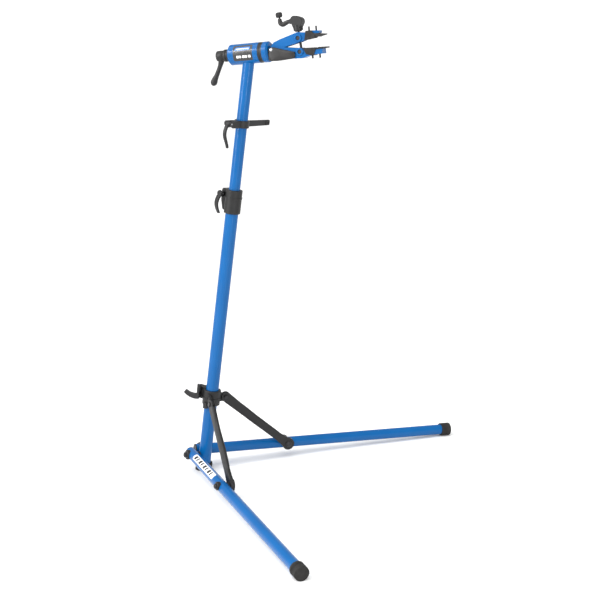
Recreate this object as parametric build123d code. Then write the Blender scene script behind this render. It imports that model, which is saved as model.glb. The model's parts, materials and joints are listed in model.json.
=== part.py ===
"""A folding bicycle repair stand: a leaning telescopic mast on a rubber boot, two folding
legs braced by struts from a sliding collar, and a rotating jaw clamp on top.

Frames, all in millimetres:
  mast frame      Z runs up the mast axis from the floor, X leans forward
  leg-plane frame the mast frame turned about the mast, so X lies in one leg's fold plane
                  and -Y points outward; the other leg is its mirror image
  leg frame       origin on the leg's fold axis, X along the leg
  clamp frame     origin where the barrel axis meets the mast axis, X along the barrel
"""
from build123d import *
from math import atan2, cos, degrees, radians, sin
import os

# ---- driving dimensions -------------------------------------------------------------
LEAN = 7.67            # mast lean towards the clamp, degrees
SPLAY = 43.71          # each leg's fold plane, degrees either side of straight ahead
LEG_RISE = 3.43        # leg above the plane square to the mast, degrees

MAST_R = 22.225        # lower tube, 1 3/4 inch outside diameter
MAST_BORE = 20.225
UPPER_R = 19.05        # upper tube, 1 1/2 inch outside diameter
UPPER_BORE = 17.25
LEG_R = 19.05          # leg tube, 1 1/2 inch outside diameter
LEG_BORE = 17.25
RUN = 0.075            # radial clearance of a sliding or turning fit

MAST_FOOT = 8.0        # lower tube's bottom end, along the mast
MAST_TOP = 976.0       # lower tube's top end, inside the height collar
UPPER_FOOT = 812.0     # upper tube's bottom end, inside the lower tube
BARREL_AT = 1462.1     # where the barrel axis crosses the mast axis
BARREL_TILT = 5.0      # barrel above the horizontal, degrees

PIVOT_AT = 55.8        # leg pivot's height along the mast
LEG_OFF = 46.4         # leg axis to the mast axis
LEG_LEN = 985.8        # leg pivot to the tip of the foot cap
LEG_REAR = -22.0       # rear end of the leg tube
FOOT_R = 23.6
CAP_T = 5.5            # thickness of the plastic washers on the leg's outer side

STRUT_ON_LEG = 318.0   # leg pivot to strut pivot, along the leg
STRUT_RISE = 6.0       # strut pivot above the leg axis
STRUT_OFF = 19.0       # strut's middle plane to the mast axis
STRUT_T = 14.0
EAR_REACH = 57.0       # strut's upper pivot to the mast axis
EAR_AT = 266.0         # its height along the mast

COLLAR_LOW, COLLAR_HIGH = 246.0, 300.0        # leg collar
HEIGHT_LOW, HEIGHT_HIGH = 931.0, 1011.0       # height collar
HEIGHT_TURN = 155.0                           # direction of its ears about the mast
HOLDER_LOW, HOLDER_HIGH = 1220.5, 1244.5      # accessory collar
HOLDER_TURN = 78.0                            # direction of its arm about the mast

BARREL_R = 33.4
BARREL_REAR, BARREL_FRONT = -67.7, 41.3
HEAD_BACK, HEAD_FRONT = 56.0, 76.0
SPINDLE_R = 10.0

JAW_PIN = (88.4, 4.9)      # jaw pivot in the clamp frame, X and Z
TRUNNION_REACH = 97.0      # jaw pivot to either trunnion
UPPER_ANGLE = 17.6         # direction of the upper trunnion from the jaw pivot, degrees
LOWER_ANGLE = -8.0
ARM_HALF = 16.0            # half the width of the lower jaw arm
ARM_WALL = 2.6
BOSS_T = 4.0               # how far the trunnion bosses stand off the arms
ROD_R = 4.0

# ---- frames -------------------------------------------------------------------------
MAST = Location((0, 0, 0), (0, LEAN, 0))
LEG_PLANE = MAST * Location((0, 0, 0), (0, 0, -SPLAY))
LEG = LEG_PLANE * Location((0, -LEG_OFF, PIVOT_AT), (0, -LEG_RISE, 0))
BARREL_ORIGIN = (BARREL_AT * sin(radians(LEAN)), 0, BARREL_AT * cos(radians(LEAN)))
CLAMP = Location(BARREL_ORIGIN, (0, -BARREL_TILT, 0))
HEIGHT = MAST * Location((0, 0, 0), (0, 0, HEIGHT_TURN))
REAR = MAST * Location((0, 0, 0), (0, 0, 180))
HOLDER = MAST * Location((0, 0, 0), (0, 0, HOLDER_TURN))


def polar(centre, reach, angle):
    """A point in an X-Z plane, at a distance and an angle from a centre."""
    return (centre[0] + reach * cos(radians(angle)), centre[1] + reach * sin(radians(angle)))


UPPER_TRUNNION = polar(JAW_PIN, TRUNNION_REACH, UPPER_ANGLE)
LOWER_TRUNNION = polar(JAW_PIN, TRUNNION_REACH, LOWER_ANGLE)
ROD_LEAN = (UPPER_ANGLE + LOWER_ANGLE) / 2    # the rod is square to the jaws' bisector
ROD = CLAMP * Location((LOWER_TRUNNION[0], 0, LOWER_TRUNNION[1]), (0, -ROD_LEAN, 0))
ROD_SPAN = 2 * TRUNNION_REACH * sin(radians((UPPER_ANGLE - LOWER_ANGLE) / 2))


# ---- basic solids -------------------------------------------------------------------
def rod_z(radius, low, high, x=0, y=0):
    return Pos(x, y, (low + high) / 2) * Cylinder(radius, high - low)


def rod_y(radius, low, high, x=0, z=0):
    return Pos(x, (low + high) / 2, z) * Rot(90, 0, 0) * Cylinder(radius, high - low)


def rod_x(radius, low, high, y=0, z=0):
    return Pos((low + high) / 2, y, z) * Rot(0, 90, 0) * Cylinder(radius, high - low)


def box(x0, x1, y0, y1, z0, z1):
    return Pos((x0 + x1) / 2, (y0 + y1) / 2, (z0 + z1) / 2) * Box(x1 - x0, y1 - y0, z1 - z0)


def plate_xz(points, y0, y1):
    """A flat plate in the X-Z plane with the given corners, between two Y faces."""
    outline = Plane.XZ * make_face(Polyline(*points, close=True))
    return Pos(0, y0, 0) * extrude(outline, -(y1 - y0))


def hull_xz(circles, y0, y1):
    """A plate wrapped around circles (x, z, radius) in the X-Z plane, like a link."""
    outline = make_hull([edge for x, z, r in circles for edge in (Pos(x, z) * Circle(r)).edges()])
    return Pos(0, y0, 0) * extrude(Plane.XZ * outline, -(y1 - y0))


def soften(shape, radius, pick=None):
    """Round the chosen edges, or every edge."""
    edges = shape.edges() if pick is None else pick(shape.edges())
    return fillet(edges, radius)


def hexagon_y(flats, low, high, x=0, z=0):
    outline = RegularPolygon(flats / 2, 6, major_radius=False)
    return Pos(x, low, z) * extrude(Plane.XZ * outline, -(high - low))


def sweep_along(path, stations):
    """Sweep rounded rectangles along a path: each station is a place, a width and a depth."""
    sections = []
    for place, wide, deep, across in stations:
        spot = Plane(origin=path @ place, x_dir=across, z_dir=path % place)
        sections.append(spot * RectangleRounded(wide, deep, min(wide, deep) * 0.42))
    return sweep(sections, path=path, multisection=True)


def swept_bar(points, width, thick, y=0):
    """A bar along a smooth curve in the X-Z plane, tapering towards its tip."""
    path = Spline(*[(x, y, z) for x, z in points])
    stations = [(place, width * k, thick * k, (0, 1, 0)) for place, k in
                ((0, 1.0), (0.5, 0.94), (1, 0.74))]
    return sweep_along(path, stations)


# ---- mast and base ------------------------------------------------------------------
def pivot_bore(radius, low, high):
    """A cylinder along one leg's fold axis, between two distances from the mast axis."""
    return rod_y(radius, -high, -low, 0, PIVOT_AT)


def both_sides(shape):
    """The shape in the leg-plane frame, placed for each leg, in the mast frame."""
    first = Rot(0, 0, -SPLAY) * shape
    return [first, mirror(first, about=Plane.XZ)]


def lower_mast_tube():
    tube = rod_z(MAST_R, MAST_FOOT, MAST_TOP) - rod_z(MAST_BORE, MAST_FOOT, MAST_TOP)
    for hole in both_sides(pivot_bore(5.1, 0, 30)):
        tube -= hole
    return MAST * tube


def mast_boot():
    boot = rod_z(29, -12, 27)
    boot = soften(boot, 3, lambda e: e.group_by(Axis.Z)[-1])
    for ring_at in (9, 15, 21):
        boot -= rod_z(30, ring_at, ring_at + 1.6) - rod_z(28.2, ring_at, ring_at + 1.6)
    boot -= rod_z(MAST_R, MAST_FOOT, 30)
    return MAST * boot - box(-60, 60, -60, 60, -40, 0)


def pivot_block():
    block = rod_z(MAST_BORE, PIVOT_AT - 18, PIVOT_AT + 18)
    block = chamfer(block.edges().filter_by(GeomType.CIRCLE), 1.2)
    for hole in both_sides(pivot_bore(5.0, 6, 30)):
        block -= hole
    return MAST * block


def pivot_spacers():
    spacer = pivot_bore(11, 10, 26.9) - rod_z(MAST_R, 0, 100) - pivot_bore(5.1, 0, 40)
    return [MAST * s for s in both_sides(spacer)]


def leg_pivot_bolts():
    head_at = LEG_OFF + LEG_R + CAP_T + 0.3
    head = hexagon_y(16, -(head_at + 7), -head_at, 0, PIVOT_AT)
    head &= pivot_bore(9.0, 60, 90)
    bolt = pivot_bore(5.0, 6, head_at) + head + pivot_bore(5.2, head_at + 6, head_at + 8.5)
    return [MAST * b for b in both_sides(bolt)]


# ---- legs ---------------------------------------------------------------------------
def strut_bolt_bore(radius, low, high):
    """In the leg frame: a cylinder along the strut bolt, out to the leg's outer side."""
    return rod_y(radius, low, high, STRUT_ON_LEG, STRUT_RISE)


def leg_tube():
    end = LEG_LEN - 8
    tube = rod_x(LEG_R, LEG_REAR, end) - rod_x(LEG_BORE, LEG_REAR, end)
    tube -= rod_y(8.0, -40, 40)
    return tube - strut_bolt_bore(4.05, -40, 40)


def leg_bushes():
    """The welded sleeve that turns on the pivot bolt, and the washer behind the strut."""
    sleeve = (rod_y(8.0, -30, 0) & rod_x(LEG_R, -20, 20)) + rod_y(8.0, 0, LEG_R + 0.25)
    washer = strut_bolt_bore(11, 12, LEG_OFF - STRUT_OFF - STRUT_T / 2 - 0.3)
    washer -= rod_x(LEG_R, STRUT_ON_LEG - 40, STRUT_ON_LEG + 40) + strut_bolt_bore(4.05, 0, 40)
    return [LEG * (sleeve - rod_y(5.0 + RUN, -40, 40)), LEG * washer]


def leg_rear_plug():
    plug = rod_x(LEG_BORE, LEG_REAR, LEG_REAR + 11) + rod_x(LEG_R, LEG_REAR - 4, LEG_REAR)
    plug = soften(plug, 1.8, lambda e: e.group_by(Axis.X)[0])
    return plug - rod_x(11, LEG_REAR - 5, LEG_REAR - 3)


def leg_foot_cap():
    cap = rod_x(FOOT_R, LEG_LEN - 37, LEG_LEN)
    cap = soften(cap, 2.5, lambda e: e.group_by(Axis.X)[-1])
    for ring_at in (28, 23.5, 19):
        cap -= rod_x(FOOT_R + 1, LEG_LEN - ring_at, LEG_LEN - ring_at + 1.4) - rod_x(
            FOOT_R - 0.8, LEG_LEN - ring_at, LEG_LEN - ring_at + 1.4)
    return cap - rod_x(LEG_R, LEG_LEN - 40, LEG_LEN - 8)


def saddle_cap(radius, x, z, hole):
    """A domed plastic washer that sits on the leg's outer side around a bolt."""
    cap = rod_y(radius, -(LEG_R + CAP_T), -12, x, z)
    cap = soften(cap, 3, lambda e: e.group_by(Axis.Y)[0])
    return cap - rod_x(LEG_R, x - 40, x + 40) - rod_y(hole, -60, 20, x, z)


def strut_bolt():
    bolt = strut_bolt_bore(4.0, -(LEG_R + CAP_T), LEG_R - 0.6)
    head = strut_bolt_bore(9.0, -(LEG_R + CAP_T + 6.5), -(LEG_R + CAP_T))
    return bolt + soften(head, 3.2, lambda e: e.group_by(Axis.Y)[0])


def bolt_caps():
    """The plastic washers around the pivot bolt and the strut bolt."""
    return [LEG * saddle_cap(17.0, 0, 0, 5.0 + RUN),
            LEG * saddle_cap(14.5, STRUT_ON_LEG, STRUT_RISE, 4.0)]


# ---- leg collar and struts ----------------------------------------------------------
def strut_low_pivot():
    """The strut's lower pivot in the leg-plane frame, X and Z."""
    rise = radians(LEG_RISE)
    x = STRUT_ON_LEG * cos(rise) - STRUT_RISE * sin(rise)
    return (x, PIVOT_AT + STRUT_ON_LEG * sin(rise) + STRUT_RISE * cos(rise))


def strut_arm():
    low = strut_low_pivot()
    high = (EAR_REACH, EAR_AT)
    span = (Vector(*low) - Vector(*high)).length
    slope = degrees(atan2(low[1] - high[1], low[0] - high[0]))
    near, far = -(STRUT_OFF + STRUT_T / 2), -(STRUT_OFF - STRUT_T / 2)
    arm = hull_xz([(0, 0, 18), (110, -2, 15)], near, far)
    arm += hull_xz([(110, -2, 15), (span - 60, -1, 13.5)], near, far)
    arm += hull_xz([(span - 60, -1, 13.5), (span, 0, 19)], near, far)
    arm = soften(arm, 4.0, lambda e: e.group_by(Axis.Y)[0] + e.group_by(Axis.Y)[-1])
    arm += rod_y(22, near, far, span, 0)
    arm -= rod_y(26, -STRUT_OFF - 4.3, -STRUT_OFF + 4.3, 0, 0)
    arm -= rod_y(4.05, near - 1, far + 1, 0, 0) + rod_y(5.0, near - 1, far + 1, span, 0)
    return Pos(high[0], 0, high[1]) * Rot(0, -slope, 0) * arm


def strut_top_bolts():
    """The bolt through each strut's fork and its nut."""
    near, far = -(STRUT_OFF + STRUT_T / 2), -(STRUT_OFF - STRUT_T / 2)
    x, z = EAR_REACH, EAR_AT
    head = soften(rod_y(8, near - 4, near, x, z), 1.8, lambda e: e.group_by(Axis.Y)[0])
    bolt = head + rod_y(4.0, near, far + 5.5, x, z)
    nut = hexagon_y(13, far, far + 5, x, z) - rod_y(4.0, -60, 60, x, z)
    return [MAST * solid for shape in (bolt, nut) for solid in both_sides(shape)]


def strut_low_pin():
    near, far = -(STRUT_OFF + STRUT_T / 2), -(STRUT_OFF - STRUT_T / 2)
    x, z = strut_low_pivot()
    head = soften(rod_y(11, far, far + 5, x, z), 2.4, lambda e: e.group_by(Axis.Y)[-1])
    return head + rod_y(4.95, near + 0.3, far, x, z)


def collar_ear():
    """The tongue that carries one strut, in the leg-plane frame."""
    y0, y1 = -STRUT_OFF - 4, -STRUT_OFF + 4
    ear = hull_xz([(EAR_REACH, EAR_AT, 15), (20, 262, 15)], y0, y1)
    ear += hull_xz([(18, COLLAR_LOW + 10, 9), (18, COLLAR_HIGH - 12, 9), (34, 276, 9)], y0, y1)
    return ear - rod_y(4.0 + RUN, y0 - 1, y1 + 1, EAR_REACH, EAR_AT)


def leg_collar():
    body = rod_z(31, COLLAR_LOW, COLLAR_HIGH)
    body = soften(body, 2.5, lambda e: e.filter_by(GeomType.CIRCLE))
    body += rod_z(33, 268, 274)
    for ear in both_sides(collar_ear()):
        body += ear
    for side in (-1, 1):
        body += Rot(0, 0, side * 100) * box(22, 36, -7, 7, COLLAR_LOW - 9, COLLAR_LOW + 12)
    body += Rot(0, 0, 180) * soften(box(18, 52, -13, 13, 262, 304), 3, lambda e: e.filter_by(Axis.Z))
    body -= rod_z(MAST_R + RUN, 200, 350)
    body -= Rot(0, 0, 180) * box(0, 60, -1.5, 1.5, 200, 350)
    body -= Rot(0, 0, 180) * rod_y(3.1, -30, 30, 41, 284)
    return MAST * body


def leg_collar_bolt():
    bolt = rod_y(3.0, -18, 17, 41, 284)
    head = soften(rod_y(6.5, -18, -13, 41, 284), 1.2, lambda e: e.group_by(Axis.Y)[0])
    bolt += head + rod_z(4.4, 279, 289, 41, 21.5)
    bolt += rod_y(3.0, 13, 21, 41, 284)
    return REAR * (bolt - rod_z(2.55, 260, 310, 41, 21.5))


def leg_collar_pin():
    return REAR * rod_z(2.5, 264, 316, 41, 21.5)


def leg_collar_lever():
    cam = rod_z(7.6, 266, 314, 41, 21.5)
    cam = soften(cam, 1.5, lambda e: e.filter_by(GeomType.CIRCLE))
    paddle = swept_bar([(42, 271), (58, 268), (76, 270), (94, 278)], 9, 22, 21.5)
    lever = cam + paddle
    lever -= rod_z(2.5 + RUN, 250, 330, 41, 21.5)
    lever -= box(25, 49, 10, 27.5, 278.2, 289.8)
    return REAR * lever


# ---- height collar ------------------------------------------------------------------
HEIGHT_BOLT = (38.0, 991.0)    # clamp bolt's distance from the mast axis, and its height
HEIGHT_CAM_Y = 24.5


def height_collar():
    body = rod_z(28, HEIGHT_LOW, HEIGHT_HIGH)
    body = soften(body, 2.0, lambda e: e.filter_by(GeomType.CIRCLE))
    body += rod_z(29.2, 981, 987)
    ears = plate_xz([(16, 1009), (44, 1009), (49, 1003), (49, 968), (38, 938), (16, 934)], -13, 13)
    body += soften(ears, 3.0, lambda e: e.filter_by(Axis.Y))
    body -= rod_z(MAST_R, 900, 978) + rod_z(UPPER_R + RUN, 970, 1020)
    body -= box(0, 60, -1.5, 1.5, 900, 1020)
    body -= rod_y(3.1, -40, 40, *HEIGHT_BOLT)
    return HEIGHT * body


def height_collar_bolt():
    x, z = HEIGHT_BOLT
    bolt = rod_y(3.0, -18, HEIGHT_CAM_Y - 3, x, z)
    bolt += soften(rod_y(6.5, -18, -13, x, z), 1.2, lambda e: e.group_by(Axis.Y)[0])
    bolt += rod_x(4.4, x - 4, x + 4, HEIGHT_CAM_Y, z)
    return HEIGHT * (bolt - rod_x(2.55, x - 20, x + 20, HEIGHT_CAM_Y, z))


def height_collar_pin():
    x, z = HEIGHT_BOLT
    return HEIGHT * rod_x(2.5, x - 12, x + 12, HEIGHT_CAM_Y, z)


def height_collar_lever():
    x, z = HEIGHT_BOLT
    cam = soften(rod_x(9.5, x - 11, x + 11, HEIGHT_CAM_Y, z), 1.5,
                 lambda e: e.filter_by(GeomType.CIRCLE))
    curve = [(z - 2, 28), (z - 16, 37), (z - 32, 40.5), (z - 50, 36), (z - 66, 27)]
    path = Spline(*[(x, y, s) for s, y in curve])
    across = (1, 0, 0)
    lever = cam + sweep_along(path, [(0, 19, 8, across), (0.5, 17, 7, across), (1, 13, 6, across)])
    lever -= rod_x(2.5 + RUN, x - 30, x + 30, HEIGHT_CAM_Y, z)
    lever -= box(x - 4.8, x + 4.8, 10, HEIGHT_CAM_Y + 5.5, z - 7, z + 14)
    return HEIGHT * lever


# ---- upper mast and accessory collar ------------------------------------------------
def upper_mast_tube():
    tube = rod_z(UPPER_R, UPPER_FOOT, BARREL_AT) - rod_z(UPPER_BORE, UPPER_FOOT, BARREL_AT)
    return MAST * tube - CLAMP * rod_x(BARREL_R, -100, 100)


def glide_bush():
    bush = rod_z(MAST_BORE - RUN, UPPER_FOOT + 12, UPPER_FOOT + 52)
    return MAST * (bush - rod_z(UPPER_R + 0.05, UPPER_FOOT, UPPER_FOOT + 80))


def retaining_rings():
    """Steel rings on the upper tube, either side of the glide bush."""
    rings = []
    for low in (UPPER_FOOT + 8.5, UPPER_FOOT + 52.3):
        ring = rod_z(MAST_BORE - 0.35, low, low + 3) - rod_z(UPPER_R, low, low + 3)
        rings.append(MAST * ring)
    return rings


def accessory_liner():
    liner = rod_z(21.0, HOLDER_LOW + 1, HOLDER_HIGH - 1)
    return HOLDER * (liner - rod_z(UPPER_R + RUN, HOLDER_LOW, HOLDER_HIGH))


HOLDER_PIN = (-70.0, 1235.0)
HOLDER_REACH = 148.0       # end of the arm from the mast axis


def accessory_collar():
    body = rod_z(25, HOLDER_LOW, HOLDER_HIGH)
    body = soften(body, 1.2, lambda e: e.filter_by(GeomType.CIRCLE))
    arm = plate_xz([(20, 1243.5), (40, 1242.5), (HOLDER_REACH, 1241.5), (HOLDER_REACH, 1223.5),
                    (40, 1222.5), (20, 1221.5)], -3, 3)
    body += soften(arm, 1.0, lambda e: e.filter_by(Axis.Y))
    body += box(HOLDER_REACH - 20, HOLDER_REACH, -4.5, 4.5, 1225.5, 1239.5)
    for y0, y1 in ((-13, -8), (8, 13)):
        ear = plate_xz([(-10, 1244), (-72, 1244), (-78, 1239), (-76, 1230), (-60, 1221), (-10, 1221)],
                       y0, y1)
        body += soften(ear, 1.0, lambda e: e.filter_by(Axis.Y))
    body += box(-44, -18, -8, 8, 1221, 1244)
    body -= rod_z(21.0 + RUN, 1200, 1260)
    body -= rod_y(2.5, -20, 20, *HOLDER_PIN) + rod_y(3.3, -20, 20, HOLDER_REACH - 10, 1232)
    return HOLDER * body


def accessory_pin():
    return HOLDER * rod_y(2.5, -14, 14, *HOLDER_PIN)


def accessory_lever():
    x, z = HOLDER_PIN
    cam = soften(rod_y(8.5, -7.5, 7.5, x, z), 1.2, lambda e: e.filter_by(GeomType.CIRCLE))
    curve = [(x - 3, z - 1), (x - 13, z - 17), (x - 15, z - 34), (x - 5, z - 57), (x + 6, z - 80)]
    lever = cam + swept_bar(curve, 13, 9)
    return HOLDER * (lever - rod_y(2.5 + RUN, -20, 20, x, z))


# ---- clamp barrel and rotation lock -------------------------------------------------
NUT_REAR = -103.8          # rear face of the nut inside the lock handle's hub


def clamp_barrel():
    barrel = rod_x(BARREL_R, BARREL_REAR, BARREL_FRONT)
    barrel = chamfer(barrel.edges().group_by(Axis.X)[0], 4.0)
    barrel -= rod_x(BARREL_R - 4, BARREL_REAR + 8, BARREL_FRONT + 1)
    return CLAMP * (barrel - rod_x(16, -100, 0))


def bearing_bushes():
    """Bronze bushes that carry the spindle at either end of the barrel."""
    rear = rod_x(16, BARREL_REAR - 1, BARREL_REAR + 16) - rod_x(SPINDLE_R + RUN, -100, 100)
    front = rod_x(BARREL_R - 4, BARREL_FRONT - 22, BARREL_FRONT) - rod_x(SPINDLE_R + RUN, -100, 100)
    return [CLAMP * rear, CLAMP * front]


def friction_ring():
    ring = rod_x(32.9, BARREL_FRONT, 48.6)
    return CLAMP * (ring - rod_x(SPINDLE_R + 2, 0, 100))


def clutch_ring():
    ring = rod_x(32.6, 48.9, HEAD_BACK)
    return CLAMP * (ring - rod_x(SPINDLE_R, 0, 100))


def thrust_collar():
    collar = rod_x(20, -90.5, BARREL_REAR - 1)
    collar = soften(collar, 2.5, lambda e: e.group_by(Axis.X)[0])
    collar -= rod_x(22, -82, -78) - rod_x(18.5, -82, -78)
    return CLAMP * (collar - rod_x(SPINDLE_R + RUN, -110, 0))


def spindle():
    shaft = rod_x(SPINDLE_R, -109, HEAD_BACK + 12)
    return CLAMP * chamfer(shaft.edges().group_by(Axis.X)[0], 1.5)


def lock_nut():
    nut = Pos(NUT_REAR, 0, 0) * Rot(0, 90, 0) * extrude(RegularPolygon(13.5, 6), 13)
    return CLAMP * (nut - rod_x(SPINDLE_R + RUN, -130, -80))


def lock_handle():
    hub = soften(rod_x(17.5, -117, -91), 3.0, lambda e: e.filter_by(GeomType.CIRCLE))
    path = Spline((-104, 0, -8), (-110, 0, -28), (-122, 0, -53), (-137, 0, -80))
    across = (0, 1, 0)
    handle = hub + sweep_along(path, [(0, 22, 20, across), (0.35, 18, 16, across), (1, 14, 14, across)])
    handle += Pos(-139, 0, -83.5) * Sphere(11.6)
    handle -= Pos(NUT_REAR, 0, 0) * Rot(0, 90, 0) * extrude(RegularPolygon(13.5, 6), 13)
    return CLAMP * (handle - rod_x(SPINDLE_R + 0.4, -112, -80))


# ---- rotating head and jaws ---------------------------------------------------------
def rotating_head():
    drum = rod_x(BARREL_R, HEAD_BACK, HEAD_FRONT)
    drum = chamfer(drum.edges().group_by(Axis.X)[-1], 5.0)
    for side in (-1, 1):
        drum += hull_xz([(JAW_PIN[0], JAW_PIN[1], 10), (72, 6, 13)], side * 7 - 2.8, side * 7 + 2.8)
        drum -= casting_side(side)
    drum -= rod_y(5.0, -40, 40, *JAW_PIN)
    return CLAMP * (drum - rod_x(SPINDLE_R, 0, HEAD_BACK + 12))


def jaw_pin():
    pin = rod_y(5.0, -ARM_HALF - 4.5, ARM_HALF + 4.5, *JAW_PIN)
    return CLAMP * chamfer(pin.edges().filter_by(GeomType.CIRCLE), 0.8)


def channel(outline, hollow, half, wall, trunnion):
    """A folded steel channel with a welded boss around each end of its trunnion."""
    body = plate_xz(outline, -half, half)
    body -= plate_xz(hollow, -half + wall, half - wall)
    for low, high, face in ((half - 0.5, half + BOSS_T, -1), (-half - BOSS_T, -half + 0.5, 0)):
        boss = rod_y(12.5, low, high, *trunnion)
        body += soften(boss, 1.2, lambda e: e.group_by(Axis.Y)[face])
    return body - rod_y(7.0 + RUN, -40, 40, *trunnion)


def upper_jaw_arm():
    """The upper channel, open below; its walls nest inside those of the lower channel."""
    outline = [(82, 13), (93, 27), (118, 36), (178, 52.5), (206, 50), (228, 53), (254, 52), (254, 44),
               (228, 42), (206, 27), (186, 21), (166, 17), (118, 7), (98, -4), (84, -4), (80, 4)]
    hollow = [(60, 10), (93, 20), (118, 32.5), (178, 49), (206, 46), (228, 48), (240, 44), (228, 30),
              (206, 10), (100, -10), (60, -10)]
    arm = channel(outline, hollow, ARM_HALF - 3, ARM_WALL, UPPER_TRUNNION)
    arm -= rod_y(5.0 + RUN, -40, 40, *JAW_PIN)
    top = Pos(UPPER_TRUNNION[0], 0, UPPER_TRUNNION[1])
    arm -= top * Rot(0, -ROD_LEAN, 0) * (rod_z(5.2, 0, 40) + box(-4.5, 9.5, -5.2, 5.2, 0, 40))
    return CLAMP * arm


def lower_jaw_arm():
    """The lower channel, open above."""
    outline = [(101, 13.5), (171, 4), (193, -2), (214, -5), (262, -5), (262, -20.5), (236, -21),
               (210, -25), (192, -30), (168, -29), (110, -25), (101, -20)]
    hollow = [(90, 20), (171, 8), (190, 3), (208, -1), (226, -6), (226, -18), (208, -22), (190, -27),
              (168, -26), (112, -22), (90, -20)]
    return CLAMP * channel(outline, hollow, ARM_HALF, ARM_WALL, LOWER_TRUNNION)


def casting_side(side):
    """One cheek of the black casting, on the outside of the lower arm."""
    outline = [(72, -6), (74, 4), (80, 11), (90, 13), (100, 11), (130, 2), (168, -8), (168, -27),
               (130, -29), (100, -31), (84, -31), (76, -24)]
    low, high = sorted((side * (ARM_HALF + 0.05), side * (ARM_HALF + 6)))
    return soften(plate_xz(outline, low, high), 1.6, lambda e: e.filter_by(Axis.Y))


def lower_jaw_casting():
    """The black cast bracket that carries the lower arm on the rotating head."""
    casting = casting_side(-1) + casting_side(1)
    casting += box(HEAD_FRONT, 100.9, -ARM_HALF - 3, ARM_HALF + 3, -30, -14)
    return CLAMP * (casting - rod_y(5.0, -40, 40, *JAW_PIN))


def trunnion(half):
    """A cross-bar whose ends sit a little way inside the bosses of its arm."""
    body = rod_y(7.0, -half - 1.5, half + 1.5)
    return chamfer(body.edges().filter_by(GeomType.CIRCLE), 0.8)


def upper_trunnion():
    body = trunnion(ARM_HALF - 3) - Rot(0, -ROD_LEAN, 0) * rod_z(ROD_R + 0.4, -20, 20)
    return CLAMP * Pos(UPPER_TRUNNION[0], 0, UPPER_TRUNNION[1]) * body


def clamp_rod():
    """The threaded rod with the cross-bar that pivots in the lower arm."""
    rod = rod_z(ROD_R, 0, ROD_SPAN + 56)
    rod = chamfer(rod.edges().group_by(Axis.Z)[-1], 0.8)
    return ROD * (rod + trunnion(ARM_HALF))


def jaw_pad(outline, groove, pegs, peg_to):
    """A moulded jaw face with a V groove for the tube it grips, and two hooks for bands."""
    pad = plate_xz(outline, -ARM_HALF - 2.5, ARM_HALF + 2.5)
    pad = soften(pad, 1.2, lambda e: e.filter_by(Axis.Y))
    pad -= plate_xz(groove, -60, 60)
    for x, start in pegs:
        low, high = sorted((start, peg_to))
        pad += rod_z(2.8, low, high, x)
    return pad


def upper_jaw_pad():
    outline = [(203, 26.5), (206, 33), (210, 54.2), (228, 54.2), (236, 45), (256, 42.5), (270, 41),
               (270, 37.5), (254, 34.5), (245, 31.5)]
    groove = [(230, 26), (241, 37.5), (252, 30)]
    pad = jaw_pad(outline, groove, ((215.5, 50), (240, 42)), 67.5)
    return CLAMP * pad - upper_jaw_arm()


def lower_jaw_pad():
    outline = [(197, 2), (232, 1), (274, 0.5), (274, -3.5), (240, -6), (232, -22), (226, -24),
               (206, -18)]
    groove = [(228, 3), (241, -5.2), (254, 3)]
    pad = jaw_pad(outline, groove, ((221, -16), (246.5, -5)), -33)
    return CLAMP * pad - lower_jaw_arm()


# ---- clamp screw and crank ----------------------------------------------------------
WASHER_AT = ROD_SPAN + 20.5                   # underside of the thrust washer, along the rod
CRANK_PIN = (-18.0, ROD_SPAN + 55.0)          # the crank's folding pin, in the rod's frame
KNOB_X, KNOB_LOW = -59.0, ROD_SPAN + 74.5


def thrust_washer():
    washer = rod_z(11, WASHER_AT, WASHER_AT + 2.5) - rod_z(ROD_R + RUN, 0, 200)
    return ROD * washer


def crank_nut():
    """The deep threaded nut that the crank turns on the rod, with a fork for the crank."""
    body = hull_xz([(-5, ROD_SPAN + 58, 13), (8, ROD_SPAN + 51, 14), (0, ROD_SPAN + 38, 13)], -14, 14)
    body = soften(body, 1.6, lambda e: e.group_by(Axis.Y)[0] + e.group_by(Axis.Y)[-1])
    body += hull_xz([(-5, ROD_SPAN + 58, 10), (CRANK_PIN[0], CRANK_PIN[1], 8)], -12.5, 12.5)
    neck = rod_z(15.5, WASHER_AT + 2.8, ROD_SPAN + 40)
    body += soften(neck, 1.5, lambda e: e.group_by(Axis.Z)[0])
    body -= rod_z(ROD_R + RUN, 0, ROD_SPAN + 63)
    body -= box(-60, CRANK_PIN[0] + 11, -6.8, 6.8, ROD_SPAN + 35, ROD_SPAN + 80)
    return ROD * (body - rod_y(2.5, -30, 30, *CRANK_PIN))


def crank_pin():
    return ROD * rod_y(2.5, -13.5, 13.5, *CRANK_PIN)


def crank_arm():
    """The folding crank: a round eye on the pin, an arm and an upturned end."""
    eye = rod_y(8.0, -6.3, 6.3, *CRANK_PIN)
    rise = ROD_SPAN
    path = Spline((-18, 0, rise + 55), (-34, 0, rise + 56.5), (-50, 0, rise + 50.5),
                  (-59, 0, rise + 57), (-59, 0, rise + 70))
    across = (0, 1, 0)
    stations = [(0, 12.4, 13, across), (0.4, 12, 15, across), (0.72, 13, 16, across), (1, 12, 12, across)]
    arm = eye + sweep_along(path, stations)
    return ROD * (arm - rod_y(2.5 + RUN, -30, 30, *CRANK_PIN) - knob_post_shape())


def knob_post_shape():
    post = rod_z(2.5, ROD_SPAN + 62, KNOB_LOW + 13, KNOB_X)
    return post + rod_z(4.5, KNOB_LOW + 13, KNOB_LOW + 14.5, KNOB_X)


def knob_post():
    return ROD * knob_post_shape()


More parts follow.
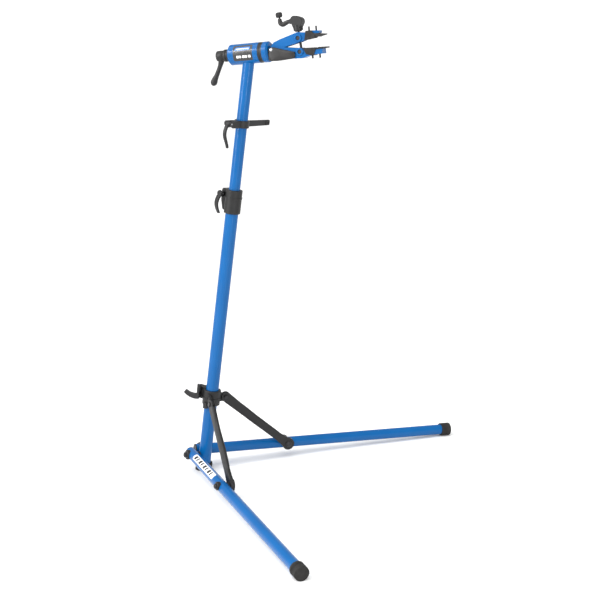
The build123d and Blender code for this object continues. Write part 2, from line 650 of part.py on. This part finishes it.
def crank_knob():
    knob = rod_z(11.3, KNOB_LOW, KNOB_LOW + 16.5, KNOB_X)
    knob = soften(knob, 4.5, lambda e: e.filter_by(GeomType.CIRCLE))
    knob -= rod_z(2.5 + RUN, 0, 400, KNOB_X) + rod_z(4.8, KNOB_LOW + 12.8, 400, KNOB_X)
    return ROD * knob


# ---- assembly -----------------------------------------------------------------------
def pair(shapes, name):
    """The same solids for each leg: the left as drawn, the right its mirror image."""
    mirrored = [mirror(shape, about=Plane.XZ) for shape in shapes]
    return {name + "_left": shapes, name + "_right": mirrored}


def flat_foot(cap):
    """Trim the cap where it rests on the floor."""
    return cap - box(-200, 1500, -1500, 1500, -60, 0)


SINGLE = (
    lower_mast_tube, mast_boot, pivot_block, pivot_spacers, leg_pivot_bolts,
    height_collar, height_collar_bolt, height_collar_pin, height_collar_lever,
    leg_collar, leg_collar_bolt, leg_collar_pin, leg_collar_lever, strut_top_bolts,
    upper_mast_tube, glide_bush, retaining_rings,
    accessory_liner, accessory_collar, accessory_pin, accessory_lever,
    clamp_barrel, bearing_bushes, friction_ring, thrust_collar, lock_nut, lock_handle,
    clutch_ring, spindle, rotating_head, jaw_pin, lower_jaw_arm, lower_jaw_casting, lower_jaw_pad,
    upper_jaw_arm, upper_jaw_pad, upper_trunnion, clamp_rod, thrust_washer,
    crank_nut, crank_pin, crank_arm, knob_post, crank_knob,
)
IN_LEG_FRAME = (leg_tube, leg_rear_plug, leg_foot_cap, strut_bolt)


def build_nodes():
    """Every piece by name: a solid, or a list of identical or paired small solids."""
    nodes = {make.__name__: make() for make in SINGLE}
    for make in IN_LEG_FRAME:
        nodes.update(pair([LEG * make()], make.__name__))
    nodes.update(pair(leg_bushes(), "leg_bushes"))
    nodes.update(pair(bolt_caps(), "bolt_caps"))
    nodes.update(pair([LEG_PLANE * strut_arm()], "strut"))
    nodes.update(pair([LEG_PLANE * strut_low_pin()], "strut_pin"))
    for side in ("left", "right"):
        foot = "leg_foot_cap_" + side
        nodes[foot] = [flat_foot(nodes[foot][0])]
    return nodes


def main():
    os.makedirs("parts", exist_ok=True)
    nodes = build_nodes()
    solids = {k: v if isinstance(v, list) else [v] for k, v in nodes.items()}
    boxes = [solid.bounding_box() for group in solids.values() for solid in group]
    low = [min(getattr(b.min, axis) for b in boxes) for axis in "XYZ"]
    high = [max(getattr(b.max, axis) for b in boxes) for axis in "XYZ"]
    shift = Pos(-(low[0] + high[0]) / 2, -(low[1] + high[1]) / 2, -low[2])
    for name, group in solids.items():
        moved = [shift * solid for solid in group]
        export_step(moved[0] if len(moved) == 1 else Compound(moved), f"parts/{name}.step")
    print("origin offset", *shift.position)
    print("size", *[h - l for h, l in zip(high, low)])


main()
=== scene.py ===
"""The bike repair stand's looks: detailed pieces, materials, camera, floor and lights.

Lengths inside a local frame are in millimetres; each frame's matrix turns them into the row's metres.
"""
import json
from math import cos, pi, radians, sin, sqrt

import bmesh
import bpy
from mathutils import Matrix, Vector


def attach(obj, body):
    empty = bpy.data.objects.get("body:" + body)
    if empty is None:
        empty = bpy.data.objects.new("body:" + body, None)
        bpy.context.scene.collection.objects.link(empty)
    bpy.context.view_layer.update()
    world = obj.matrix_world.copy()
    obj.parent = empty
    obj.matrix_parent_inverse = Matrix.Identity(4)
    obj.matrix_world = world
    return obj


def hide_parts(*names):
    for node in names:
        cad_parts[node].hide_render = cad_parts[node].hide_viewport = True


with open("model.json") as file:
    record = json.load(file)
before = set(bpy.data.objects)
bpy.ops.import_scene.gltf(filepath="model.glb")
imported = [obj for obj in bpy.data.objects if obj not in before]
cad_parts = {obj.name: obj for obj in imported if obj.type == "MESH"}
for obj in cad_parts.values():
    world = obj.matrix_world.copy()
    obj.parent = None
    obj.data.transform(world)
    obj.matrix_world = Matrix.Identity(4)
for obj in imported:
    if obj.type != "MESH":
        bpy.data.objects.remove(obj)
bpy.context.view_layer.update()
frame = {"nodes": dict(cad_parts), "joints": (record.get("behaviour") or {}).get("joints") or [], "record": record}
JOINTS = {joint["name"]: joint for joint in frame["joints"]}

# ---- driving dimensions -------------------------------------------------------------
LEAN = 7.67               # mast lean, degrees
SPLAY = 43.71             # each leg's fold plane either side of straight ahead, degrees
LEG_RISE = 3.43
BARREL_TILT = 5.0
ROD_LEAN = 4.8            # clamp screw against the clamp frame, degrees
ROD_SPAN = 42.98          # between the two trunnions along the screw
STRUT_ON_LEG, STRUT_RISE = 318.0, 6.0
STRUT_SPAN = 319.27       # between a strut's two pivots
STRUT_SLOPE = -35.45      # the strut below the plane square to the mast, degrees
LEG_R, BARREL_R = 19.05, 33.4
LEG_CAP_T, BOLT_HEAD_T = 5.5, 6.5    # plastic cap and bolt head on the leg's outer side
CHEEK_FACE = 22.0         # outer face of each casting cheek, along Y in the clamp frame
THREAD = (7.5, ROD_SPAN + 14)        # the screw thread's two ends along the rod
CRANK_PIN = (-18.0, ROD_SPAN + 55)   # the crank's folding pin in the rod's frame, X and Z
KNOB = (-59.0, ROD_SPAN + 74.5)      # the knob's axis and its lower end, X and Z
HANDLE_AT = -104.0        # lock handle's joint in the clamp frame
JAW_PIN = (88.4, 4.9)     # jaw pivot in the clamp frame, X and Z
MM = Matrix.Scale(0.001, 4)


# ---- local frames -------------------------------------------------------------------
def turn(axis, angle):
    return Matrix.Rotation(radians(angle), 4, axis)


def frame_at(joint, rotation, local):
    """The frame with this rotation in which the joint sits at a known local place, in millimetres."""
    matrix = rotation @ MM
    return Matrix.Translation(Vector(JOINTS[joint]["pos_m"]) - matrix @ Vector(local)) @ matrix


CLAMP = frame_at("lock_handle_turn", turn("Y", -BARREL_TILT), (HANDLE_AT, 0, 0))
ROD = frame_at("screw_tilt", turn("Y", -BARREL_TILT - ROD_LEAN), (0, 0, 0))
LEG_LEFT = frame_at("leg_fold_left", turn("Y", LEAN) @ turn("Z", -SPLAY) @ turn("Y", -LEG_RISE), (0, 0, 0))
STRUT_LEFT = frame_at("strut_pivot_left", turn("Y", LEAN) @ turn("Z", -SPLAY) @ turn("Y", -STRUT_SLOPE),
                      (0, 0, 0))
MIRROR = Matrix.Scale(-1, 4, (0, 1, 0))
LEG_RIGHT = MIRROR @ LEG_LEFT
STRUT_RIGHT = MIRROR @ STRUT_LEFT


# ---- materials ----------------------------------------------------------------------
class Surface:
    """A Principled material with helpers for the procedural detail that feeds it."""

    def __init__(self, name, roughness, metallic=0.0, coat=0.0, specular=0.5):
        self.material = bpy.data.materials.new(name)
        self.material.use_nodes = True
        self.nodes = self.material.node_tree.nodes
        self.links = self.material.node_tree.links
        self.shader = self.nodes["Principled BSDF"]
        self.shader.inputs["Metallic"].default_value = metallic
        self.shader.inputs["Roughness"].default_value = roughness
        self.shader.inputs["Specular IOR Level"].default_value = specular
        self.shader.inputs["Coat Weight"].default_value = coat
        self.shader.inputs["Coat Roughness"].default_value = 0.12
        self.place = self.nodes.new("ShaderNodeTexCoord").outputs["Object"]

    def noise(self, scale, detail=3.0, stretch=None):
        texture = self.nodes.new("ShaderNodeTexNoise")
        texture.inputs["Scale"].default_value = scale
        texture.inputs["Detail"].default_value = detail
        source = self.place
        if stretch:
            mapping = self.nodes.new("ShaderNodeMapping")
            mapping.inputs["Scale"].default_value = stretch
            self.links.new(self.place, mapping.inputs["Vector"])
            source = mapping.outputs["Vector"]
        self.links.new(source, texture.inputs["Vector"])
        return texture.outputs["Fac"]

    def ramp(self, factor, stops):
        """Colours against a factor; each stop is (place, colour)."""
        ramp = self.nodes.new("ShaderNodeValToRGB")
        elements = ramp.color_ramp.elements
        while len(elements) < len(stops):
            elements.new(0.5)
        for element, (place, colour) in zip(elements, stops):
            element.position = place
            element.color = (*colour, 1)
        self.links.new(factor, ramp.inputs["Fac"])
        return ramp.outputs["Color"]

    def colour(self, factor, stops):
        self.links.new(self.ramp(factor, stops), self.shader.inputs["Base Color"])

    def speckled(self, base, factor, low, high, speck):
        """Mix a fleck colour over the base where the factor is high."""
        mix = self.nodes.new("ShaderNodeMix")
        mix.data_type = "RGBA"
        mix.inputs["B"].default_value = (*speck, 1)
        spread = self.spread(factor, low, high, 0.0, 1.0)
        self.links.new(spread, mix.inputs["Factor"])
        self.links.new(base, mix.inputs["A"])
        self.links.new(mix.outputs["Result"], self.shader.inputs["Base Color"])

    def spread(self, factor, low, high, to_low, to_high):
        node = self.nodes.new("ShaderNodeMapRange")
        for name, value in (("From Min", low), ("From Max", high), ("To Min", to_low), ("To Max", to_high)):
            node.inputs[name].default_value = value
        self.links.new(factor, node.inputs["Value"])
        return node.outputs["Result"]

    def gloss(self, factor, low, high):
        self.links.new(self.spread(factor, 0.3, 0.7, low, high), self.shader.inputs["Roughness"])

    def bump(self, height, strength, distance, soft_edge=0.0005):
        """Surface relief, with its edges eased as a moulding's or a casting's are."""
        node = self.nodes.new("ShaderNodeBump")
        node.inputs["Strength"].default_value = strength
        node.inputs["Distance"].default_value = distance
        self.links.new(height, node.inputs["Height"])
        bevel = self.nodes.new("ShaderNodeBevel")
        bevel.samples = 4
        bevel.inputs["Radius"].default_value = soft_edge
        self.links.new(bevel.outputs["Normal"], node.inputs["Normal"])
        self.links.new(node.outputs["Normal"], self.shader.inputs["Normal"])


def blue_enamel():
    s = Surface("blue_enamel", 0.2, specular=0.24)
    broad = s.noise(9.0, 4.0)
    base = s.ramp(broad, [(0.3, (0.0010, 0.078, 0.250)), (0.7, (0.0016, 0.090, 0.282))])
    s.speckled(base, s.noise(420.0, 2.0), 0.74, 0.80, (0.012, 0.12, 0.34))
    s.gloss(s.noise(35.0, 5.0), 0.15, 0.26)
    s.bump(s.noise(650.0, 2.0), 0.10, 0.0002, 0.0008)
    return s.material


def black_plastic():
    s = Surface("black_plastic", 0.45, specular=0.32)
    s.colour(s.noise(30.0, 4.0), [(0.3, (0.0075, 0.0075, 0.008)), (0.7, (0.012, 0.0118, 0.012))])
    s.gloss(s.noise(60.0, 4.0), 0.38, 0.52)
    s.bump(s.noise(1500.0, 2.0), 0.22, 0.0001, 0.0008)
    return s.material


def cast_black():
    s = Surface("cast_black", 0.4, specular=0.36)
    base = s.ramp(s.noise(22.0, 4.0), [(0.3, (0.0085, 0.0078, 0.0075)), (0.7, (0.014, 0.0128, 0.0122))])
    s.speckled(base, s.noise(300.0, 3.0), 0.72, 0.80, (0.04, 0.039, 0.038))
    s.gloss(s.noise(45.0, 4.0), 0.30, 0.46)
    s.bump(s.noise(800.0, 3.0), 0.25, 0.00015, 0.0009)
    return s.material


def black_rubber():
    s = Surface("black_rubber", 0.75, specular=0.3)
    base = s.ramp(s.noise(26.0, 5.0), [(0.3, (0.010, 0.0095, 0.009)), (0.72, (0.018, 0.0172, 0.0165))])
    s.speckled(base, s.noise(180.0, 4.0), 0.68, 0.80, (0.04, 0.039, 0.037))
    s.gloss(s.noise(70.0, 4.0), 0.62, 0.82)
    s.bump(s.noise(1100.0, 3.0), 0.35, 0.00015, 0.0007)
    return s.material


def zinc_steel():
    s = Surface("zinc_steel", 0.3, metallic=1.0)
    s.colour(s.noise(160.0, 3.0), [(0.3, (0.44, 0.45, 0.47)), (0.7, (0.62, 0.62, 0.63))])
    s.gloss(s.noise(90.0, 4.0), 0.22, 0.40)
    s.bump(s.noise(500.0, 2.0, (1, 1, 8)), 0.12, 0.0001, 0.0004)
    return s.material


def black_oxide():
    s = Surface("black_oxide", 0.35, metallic=0.6)
    s.colour(s.noise(140.0, 3.0), [(0.3, (0.018, 0.018, 0.020)), (0.7, (0.034, 0.033, 0.035))])
    s.gloss(s.noise(90.0, 4.0), 0.28, 0.44)
    s.bump(s.noise(700.0, 2.0), 0.12, 0.0001, 0.0004)
    return s.material


def bronze():
    s = Surface("bronze", 0.4, metallic=1.0)
    s.colour(s.noise(120.0, 4.0), [(0.3, (0.34, 0.21, 0.09)), (0.7, (0.47, 0.31, 0.14))])
    s.gloss(s.noise(90.0, 4.0), 0.34, 0.50)
    s.bump(s.noise(900.0, 3.0), 0.25, 0.0001, 0.0004)
    return s.material


def printed(name, dark, light, roughness):
    """Printed vinyl: faint mottling and a fine film texture."""
    s = Surface(name, roughness, coat=0.2)
    s.colour(s.noise(60.0, 4.0), [(0.3, dark), (0.7, light)])
    s.gloss(s.noise(80.0, 3.0), roughness - 0.05, roughness + 0.08)
    s.bump(s.noise(1400.0, 2.0), 0.08, 0.0001, 0.0001)
    return s.material


FINISH = {
    "blue_enamel": blue_enamel(), "black_plastic": black_plastic(), "cast_black": cast_black(),
    "black_rubber": black_rubber(), "steel": zinc_steel(), "bronze": bronze(),
    "black_oxide": black_oxide(),
}
# steel pieces with a black finish
BLACKENED = ("leg_pivot_bolts", "strut_bolt_left", "strut_bolt_right", "strut_top_bolts", "strut_pin_left",
             "strut_pin_right", "upper_trunnion", "clamp_rod", "thrust_washer", "height_collar_bolt",
             "leg_collar_bolt", "pivot_spacers", "leg_bushes_left", "leg_bushes_right", "crank_pin",
             "knob_post")
WHITE_INK = printed("white_ink", (0.70, 0.71, 0.71), (0.80, 0.80, 0.80), 0.34)
BLACK_FILM = printed("black_film", (0.008, 0.008, 0.009), (0.014, 0.014, 0.016), 0.26)
BLUE_INK = printed("blue_ink", (0.008, 0.10, 0.38), (0.012, 0.14, 0.46), 0.28)


def dress_cad_nodes():
    slots = {part["node"]: part["material_slot"] for part in frame["record"]["subparts"]}
    for name, node in frame["nodes"].items():
        node.data.materials.clear()
        node.data.materials.append(FINISH["black_oxide" if name in BLACKENED else slots[name]])


# ---- mesh helpers -------------------------------------------------------------------
def piece(name, matrix, verts, faces, material, body, slot, replaces=(), subdivide=0):
    """A smooth closed mesh from local millimetres, riding on a body."""
    mesh = bpy.data.meshes.new(name)
    mesh.from_pydata([matrix @ Vector(v) for v in verts], [], faces)
    work = bmesh.new()
    work.from_mesh(mesh)
    bmesh.ops.remove_doubles(work, verts=work.verts, dist=1e-6)
    bmesh.ops.recalc_face_normals(work, faces=work.faces)
    work.to_mesh(mesh)
    work.free()
    mesh.polygons.foreach_set("use_smooth", [True] * len(mesh.polygons))
    mesh.set_sharp_from_angle(angle=radians(38))
    mesh.materials.append(material)
    obj = bpy.data.objects.new(name, mesh)
    bpy.context.collection.objects.link(obj)
    if subdivide:
        surface = obj.modifiers.new("surface", "SUBSURF")
        surface.levels = surface.render_levels = subdivide
    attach(obj, body)
    if replaces:
        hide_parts(*replaces)
    return obj


def skin(rings):
    """Quads between equal rings of points, with both ends closed by a fan."""
    count = len(rings[0])
    verts = [point for ring in rings for point in ring]
    faces = []
    for row in range(len(rings) - 1):
        for k in range(count):
            a, b = row * count + k, row * count + (k + 1) % count
            faces.append((a, b, b + count, a + count))
    for row in (0, len(rings) - 1):
        middle = sum((Vector(p) for p in rings[row]), Vector()) / count
        verts.append(middle)
        for k in range(count):
            faces.append((row * count + k, row * count + (k + 1) % count, len(verts) - 1))
    return verts, faces


def lathe(profile, origin, axis, count=48, flute=None):
    """Turn (distance along, radius) points about an axis through the origin; flute is (number, depth)."""
    axis = Vector(axis).normalized()
    side = axis.orthogonal().normalized()
    other = axis.cross(side)
    rings = []
    for along, radius in profile:
        ring = []
        for k in range(count):
            angle = 2 * pi * k / count
            r = radius
            if flute and radius > 4:
                r -= flute[1] * (0.5 - 0.5 * cos(flute[0] * angle)) * min(1.0, radius / 9)
            ring.append(Vector(origin) + axis * along + (side * cos(angle) + other * sin(angle)) * r)
        rings.append(ring)
    return skin(rings)


def smooth_run(stations, steps=6):
    """Catmull-Rom through stations of equal-length tuples."""
    run = []
    for i in range(len(stations) - 1):
        p0 = stations[max(i - 1, 0)]
        p1, p2 = stations[i], stations[i + 1]
        p3 = stations[min(i + 2, len(stations) - 1)]
        for k in range(steps):
            t = k / steps
            run.append(tuple(
                0.5 * (2 * b + (c - a) * t + (2 * a - 5 * b + 4 * c - d) * t * t
                       + (3 * b - a - 3 * c + d) * t ** 3) for a, b, c, d in zip(p0, p1, p2, p3)))
    run.append(tuple(stations[-1]))
    return run


def grip(stations, across=(0, 1, 0), power=2.5, count=28, dome=0.55):
    """A bar along a curve; each station is (x, y, z, half width along across, half depth)."""
    run = smooth_run(stations)
    across = Vector(across)
    rings = []
    for i, (x, y, z, wide, deep) in enumerate(run):
        before, after = run[max(i - 1, 0)], run[min(i + 1, len(run) - 1)]
        forward = (Vector(after[:3]) - Vector(before[:3])).normalized()
        rings.append((Vector((x, y, z)), forward, wide, deep))
    centre, forward, wide, deep = rings[-1]
    for angle in (25, 50, 70, 83):
        reach = dome * 2 * min(wide, deep) * sin(radians(angle))
        shrink = cos(radians(angle))
        rings.append((centre + forward * reach, forward, wide * shrink, deep * shrink))
    outline = []
    for centre, forward, wide, deep in rings:
        up = forward.cross(across).normalized()
        ring = []
        for k in range(count):
            c, s = cos(2 * pi * k / count), sin(2 * pi * k / count)
            u = abs(c) ** (2 / power) * (1 if c >= 0 else -1)
            v = abs(s) ** (2 / power) * (1 if s >= 0 else -1)
            ring.append(centre + across * (u * wide) + up * (v * deep))
        outline.append(ring)
    return skin(outline)


def tube_film(radius, x_range, angle_range, lift, slant=0.0, corner=0.0):
    """A thin film on a tube along X; angles in degrees from outward (-Y) towards up (+Z)."""
    x0, x1 = x_range
    a0, a1 = (radians(a) for a in angle_range)
    high = (a1 - a0) * radius
    rows, columns = 16, 12
    grids = []
    for height in (radius + 0.01, radius + lift):
        grid = []
        for r in range(rows + 1):
            v = high * r / rows
            edge = min(v, high - v)
            inset = corner - sqrt(max(corner ** 2 - (corner - edge) ** 2, 0)) if edge < corner else 0.0
            angle = a0 + v / radius
            for c in range(columns + 1):
                x = x0 + inset + (x1 - x0 - 2 * inset) * c / columns + slant * (v - high / 2)
                grid.append((x, -height * cos(angle), height * sin(angle)))
        grids.append(grid)
    verts = grids[0] + grids[1]
    layer = len(grids[0])
    wide = columns + 1
    faces = []
    for r in range(rows):
        for c in range(columns):
            a = r * wide + c
            faces.append((a, a + 1, a + 1 + wide, a + wide))
            faces.append(tuple(i + layer for i in (a, a + wide, a + 1 + wide, a + 1)))
    rim = ([c for c in range(columns)] + [r * wide + columns for r in range(rows)]
           + [rows * wide + c for c in range(columns, 0, -1)] + [r * wide for r in range(rows, 0, -1)])
    for a, b in zip(rim, rim[1:] + rim[:1]):
        faces.append((a, b, b + layer, a + layer))
    return verts, faces


# ---- clamp pieces -------------------------------------------------------------------
def barrel_label():
    """A black label with plain slanted bars in place of any lettering."""
    def film(name, xs, angles, lift, material, slant=0.0, corner=0.0):
        mesh = tube_film(BARREL_R, xs, angles, lift, slant, corner)
        piece(name, CLAMP, *mesh, material, "upper_mast", "black_plastic")

    film("label_ground", (-45, 24), (-40, 54), 0.15, BLACK_FILM, corner=3)
    film("label_band", (-38, 16), (20, 40), 0.22, BLUE_INK, slant=0.35, corner=4)
    film("label_stripe", (-34, 12), (27, 32), 0.28, WHITE_INK, slant=0.35, corner=1)
    for k, wide in enumerate((9, 6, 9, 6, 9)):
        start = -33 + 10.5 * k
        film(f"label_bar_{k + 1}", (start, start + wide), (-22, -8), 0.22, WHITE_INK, corner=1)


def leg_label(matrix, side):
    """A white band with dark slanted blocks on the leg's outer upper side."""
    body = "leg_" + side

    def film(name, xs, angles, lift, material, slant=0.0, corner=0.0):
        mesh = tube_film(LEG_R, xs, angles, lift, slant, corner)
        piece(name + "_" + side, matrix, *mesh, material, body, "blue_enamel")

    film("leg_band", (52, 256), (14, 86), 0.15, WHITE_INK, corner=5)
    for k, wide in enumerate((15, 9, 15, 9, 15, 9, 15, 9)):
        start = 64 + 22.5 * k
        film(f"leg_block_{k + 1}", (start, start + wide), (26, 74), 0.22, BLACK_FILM, slant=0.3, corner=2)


def casting_cheeks():
    """The rounded outer face of each casting cheek, and the bright head of the jaw pin set in it."""
    outline = [(72.5, -8), (74, 3), (80, 10.5), (89, 13), (100, 11), (116, 6.5), (132, 1.5), (150, -3.2),
               (167.5, -8), (167.8, -17), (167.5, -27), (148, -28.3), (130, -29), (112, -30.3), (96, -31),
               (84, -30.5), (77, -24), (73.5, -16)]
    outline = smooth_run(outline + outline[:1], 4)[:-1]
    middle_x, middle_z = 118, -11
    dome = ((0.97, -3.0), (0.97, -1.0), (0.955, 0.3), (0.90, 1.4), (0.80, 2.2), (0.6, 2.8), (0.3, 3.1))
    for side, name in ((-1, "right"), (1, "left")):
        rings = []
        for shrink, lift in dome:
            y = side * (CHEEK_FACE + lift)
            rings.append([Vector((middle_x + (x - middle_x) * shrink, y, middle_z + (z - middle_z) * shrink))
                          for x, z in outline])
        piece("cheek_" + name, CLAMP, *skin(rings), FINISH["cast_black"], "head", "cast_black")
        head = [(20.2, 3), (20.2, 4.9), (24.0, 4.9), (24.8, 4.3), (25.1, 3.0)]
        piece("jaw_pin_head_" + name, CLAMP, *lathe(head, (JAW_PIN[0], 0, JAW_PIN[1]), (0, side, 0), 32),
              FINISH["steel"], "head", "steel")


def lock_handle():
    """The rotation lock's hub, its tapered grip and the round cap on the hub's end."""
    hub = [(-13, 9.5), (-12.6, 12), (-13, 14.8), (-12.2, 16.4), (-10, 17.4), (2, 17.5), (10, 16.9),
           (12.2, 15.6), (13, 13.2), (13, 11)]
    piece("handle_hub", CLAMP, *lathe(hub, (HANDLE_AT, 0, 0), (1, 0, 0)), FINISH["black_plastic"],
          "lock_handle", "black_plastic", replaces=("lock_handle",))
    stations = [(-103, 0, -6, 11.5, 9.5), (-105, 0, -17, 10.5, 8.8), (-110, 0, -30, 8.0, 7.4),
                (-118, 0, -46, 7.2, 7.0), (-127, 0, -62, 8.0, 7.8), (-134.5, 0, -74, 10.0, 9.6),
                (-139, 0, -83, 11.2, 10.8)]
    piece("handle_grip", CLAMP, *grip(stations), FINISH["black_plastic"], "lock_handle", "black_plastic",
          subdivide=1)
    badge = [(-0.9, 3), (-0.9, 7.6), (-0.2, 8.6), (0.4, 8.4), (0.4, 3)]
    piece("handle_cap", CLAMP, *lathe(badge, (HANDLE_AT - 13.2, 0, 0), (1, 0, 0)), FINISH["cast_black"],
          "lock_handle", "black_plastic")


def crank():
    """The folding crank with its eye, its upturned bar and a fluted knob."""
    pin = (CRANK_PIN[0], 0, CRANK_PIN[1])
    eye = [(-6.3, 4.5), (-6.3, 7.0), (-5.6, 8.0), (5.6, 8.0), (6.3, 7.0), (6.3, 4.5)]
    piece("crank_eye", ROD, *lathe(eye, pin, (0, 1, 0)), FINISH["cast_black"], "crank_arm", "black_plastic",
          replaces=("crank_arm",))
    rise = ROD_SPAN
    stations = [(-19, 0, rise + 55, 6.1, 6.2), (-30, 0, rise + 56.5, 6.0, 6.6),
                (-41, 0, rise + 53.5, 6.2, 7.4), (-50.5, 0, rise + 51.5, 6.6, 8.0),
                (-58, 0, rise + 57, 6.8, 7.6), (-59, 0, rise + 68, 6.2, 6.4)]
    piece("crank_bar", ROD, *grip(stations, dome=0.35), FINISH["cast_black"], "crank_arm", "black_plastic",
          subdivide=1)
    knob = [(0, 4.2), (0, 7.6), (0.9, 9.2), (3, 10.7), (6, 11.2), (10.5, 11.2), (13.4, 10.6), (15.6, 9.0),
            (16.5, 6.6), (16.5, 5.2), (15.2, 4.9)]
    mesh = lathe(knob, (KNOB[0], 0, KNOB[1]), (0, 0, 1), 64, (10, 0.7))
    piece("knob_body", ROD, *mesh, FINISH["black_plastic"], "crank_knob", "black_plastic",
          replaces=("crank_knob",))


def screw_thread(pitch=3.0, count=20):
    """The screw's thread: a round-topped ridge wound on the rod, short of the thrust washer."""
    low, high = THREAD
    rings = []
    steps = int((high - low) / pitch * count)
    for k in range(steps + 1):
        angle = 2 * pi * k / count
        z = low + pitch * k / count
        out = Vector((cos(angle), sin(angle), 0))
        grow = min(1.0, k / 6, (steps - k) / 6) if 0 < k < steps else 0.15
        ring = [out * (3.9 + r * grow) + Vector((0, 0, z + h)) for r, h in
                ((0, -0.9), (0.28, -0.6), (0.42, -0.2), (0.42, 0.2), (0.28, 0.6), (0, 0.9))]
        rings.append(ring)
    piece("screw_thread", ROD, *skin(rings), FINISH["black_oxide"], "clamp_screw", "steel")


def bolt_socket(name, matrix, spot, axis, radius, body):
    """A button head with a hexagonal socket, set on a bolt's head."""
    axis = Vector(axis)
    side = axis.orthogonal().normalized()
    other = axis.cross(side)
    profile = ((0.0, radius, 0), (0.8, radius * 0.9, 0), (1.1, radius * 0.7, 0), (1.0, radius * 0.52, 6),
               (-0.3, radius * 0.48, 6))
    rings = []
    for along, r, sides in profile:
        ring = []
        for k in range(36):
            angle = 2 * pi * k / 36
            reach = r
            if sides:
                sector = (angle + pi / sides) % (2 * pi / sides) - pi / sides
                reach = r * cos(pi / sides) / cos(sector)
            ring.append(Vector(spot) + axis * along + (side * cos(angle) + other * sin(angle)) * reach)
        rings.append(ring)
    piece(name, matrix, *skin(rings), FINISH["black_oxide"], body, "steel")


def leg_hardware():
    spot = (STRUT_ON_LEG, -(LEG_R + LEG_CAP_T + BOLT_HEAD_T), STRUT_RISE)
    for matrix, side in ((LEG_LEFT, "left"), (LEG_RIGHT, "right")):
        bolt_socket("bolt_socket_" + side, matrix, spot, (0, -1, 0), 5.8, "leg_" + side)


def strut_blades():
    """The moulded blade of each strut, oval in section and fullest a little below its middle."""
    stations = [(46, 0, 0, 6.4, 14.0), (78, 0, -0.8, 7.5, 16.2), (STRUT_SPAN * 0.45, 1.0, -1.6, 8.9, 15.8),
                (STRUT_SPAN * 0.62, 1.5, -1.2, 9.4, 15.4), (STRUT_SPAN * 0.8, 0.7, -0.8, 8.4, 15.0),
                (STRUT_SPAN - 34, 0, -0.5, 6.4, 12.5)]
    for matrix, side in ((STRUT_LEFT, "left"), (STRUT_RIGHT, "right")):
        mesh = grip(stations, power=2.6, count=40, dome=0.1)
        piece("strut_blade_" + side, matrix, *mesh, FINISH["black_plastic"], "strut_" + side, "black_plastic")


# ---- stage --------------------------------------------------------------------------
def add_floor():
    mesh = bpy.data.meshes.new("floor")
    reach = 200.0    # metres, far enough to meet the white world at the horizon
    mesh.from_pydata([(-reach, -reach, 0), (reach, -reach, 0), (reach, reach, 0), (-reach, reach, 0)], [],
                     [(0, 1, 2, 3)])
    s = Surface("floor_paint", 0.9)
    s.colour(s.noise(2.0, 2.0), [(0.3, (0.86, 0.86, 0.86)), (0.7, (0.88, 0.88, 0.88))])
    mesh.materials.append(s.material)
    floor = bpy.data.objects.new("floor", mesh)
    bpy.context.collection.objects.link(floor)


def add_light(name, spot, target, size, power):
    data = bpy.data.lights.new(name, "AREA")
    data.shape = "RECTANGLE"
    data.size, data.size_y = size
    data.energy = power
    light = bpy.data.objects.new(name, data)
    light.location = spot
    light.rotation_euler = (Vector(target) - Vector(spot)).to_track_quat("-Z", "Y").to_euler()
    bpy.context.collection.objects.link(light)


def add_lights():
    """Two tall panels that streak the tubes, a soft sun, and a world that is brightest low down."""
    add_light("key", (-2.2, -2.6, 2.2), (0, 0, 0.8), (0.3, 3.0), 100)
    add_light("fill", (2.5, -2.3, 1.8), (0, 0, 0.8), (0.2, 2.8), 50)
    sun = bpy.data.lights.new("sky_panel", "SUN")
    sun.energy = 2.7
    sun.angle = radians(85)
    sky = bpy.data.objects.new("sky_panel", sun)
    sky.rotation_euler = (radians(28), radians(-14), 0)
    bpy.context.collection.objects.link(sky)
    world = bpy.data.worlds.new("studio")
    world.use_nodes = True
    tree = world.node_tree
    background = tree.nodes["Background"]
    background.inputs["Color"].default_value = (1, 1, 1, 1)
    place = tree.nodes.new("ShaderNodeTexCoord")
    split = tree.nodes.new("ShaderNodeSeparateXYZ")
    fade = tree.nodes.new("ShaderNodeMapRange")
    # the strength falls from 1.3 to 0.6 as the height of the view direction rises from 0.05 to 0.35
    for name, value in (("From Min", 0.05), ("From Max", 0.35), ("To Min", 1.3), ("To Max", 0.6)):
        fade.inputs[name].default_value = value
    tree.links.new(place.outputs["Generated"], split.inputs["Vector"])
    tree.links.new(split.outputs["Z"], fade.inputs["Value"])
    tree.links.new(fade.outputs["Result"], background.inputs["Strength"])
    bpy.context.scene.world = world


def add_camera():
    """A long lens that looks a little down at the stand from its front right."""
    data = bpy.data.cameras.new("camera")
    data.sensor_width = 36.0
    data.lens = 74.69
    camera = bpy.data.objects.new("camera", data)
    camera.location = (1.66068, -3.71679, 1.52678)
    pitch, heading = -12.281, 23.40    # degrees
    camera.rotation_euler = (radians(90 + pitch), 0, radians(heading))
    bpy.context.collection.objects.link(camera)
    bpy.context.scene.camera = camera


dress_cad_nodes()
barrel_label()
casting_cheeks()
leg_label(LEG_LEFT, "left")
leg_label(LEG_RIGHT, "right")
lock_handle()
crank()
screw_thread()
leg_hardware()
strut_blades()
add_floor()
add_lights()
add_camera()
bpy.context.scene.view_settings.view_transform = "Standard"
